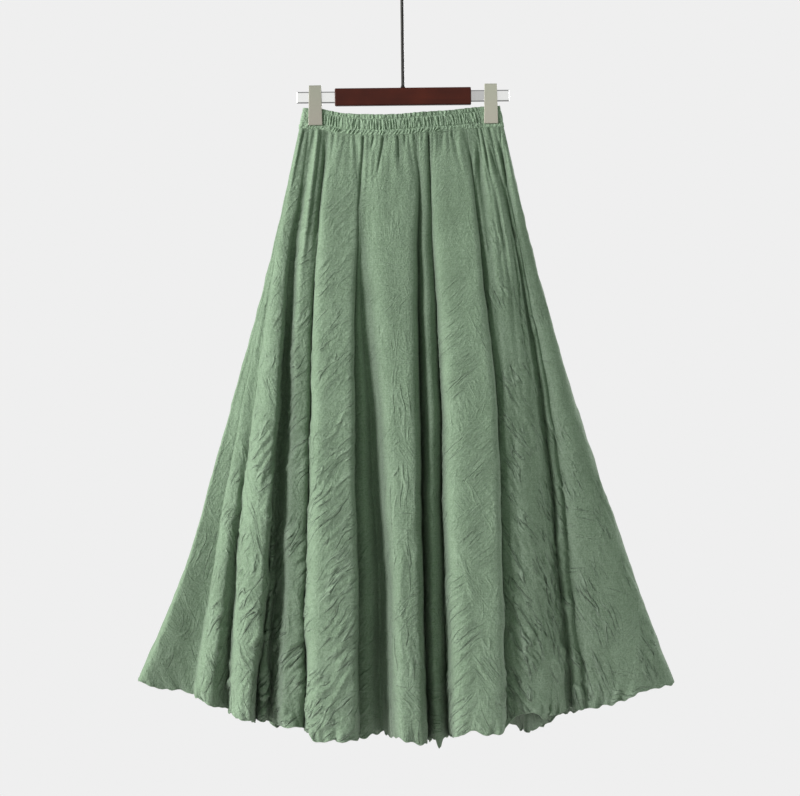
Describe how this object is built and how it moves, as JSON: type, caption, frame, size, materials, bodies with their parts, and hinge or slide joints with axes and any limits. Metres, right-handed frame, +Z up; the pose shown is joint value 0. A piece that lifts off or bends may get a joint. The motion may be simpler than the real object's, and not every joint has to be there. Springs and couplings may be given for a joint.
{
  "type": "maxi skirt on clip hanger",
  "caption": "Long flared skirt with an elastic waistband, hung flat by its waist from the clips of a hanger with a hook.",
  "frame": {"origin": "highest point inside the hook, where it rests on a rail", "axes": "+Z up, the skirt's front faces -Y, +X to the right as seen from the front"},
  "size_m": [0.762, 0.2253, 1.1296],
  "materials": {
    "cloth": "matt crinkled plain weave, sage green",
    "dark_wood": "satin varnish, dark red-brown",
    "bright_rail": "polished",
    "dark_rod": "dark satin",
    "clip_plate": "satin warm grey"
  },
  "bodies": {
    "root": {"skirt_front": "cloth", "skirt_back": "cloth", "waistband": "cloth", "hanger_bar": "dark_wood", "hanger_rail": "bright_rail", "hanger_hook": "dark_rod", "clip_left": "clip_plate", "clip_right": "clip_plate"}
  },
  "joints": []
}
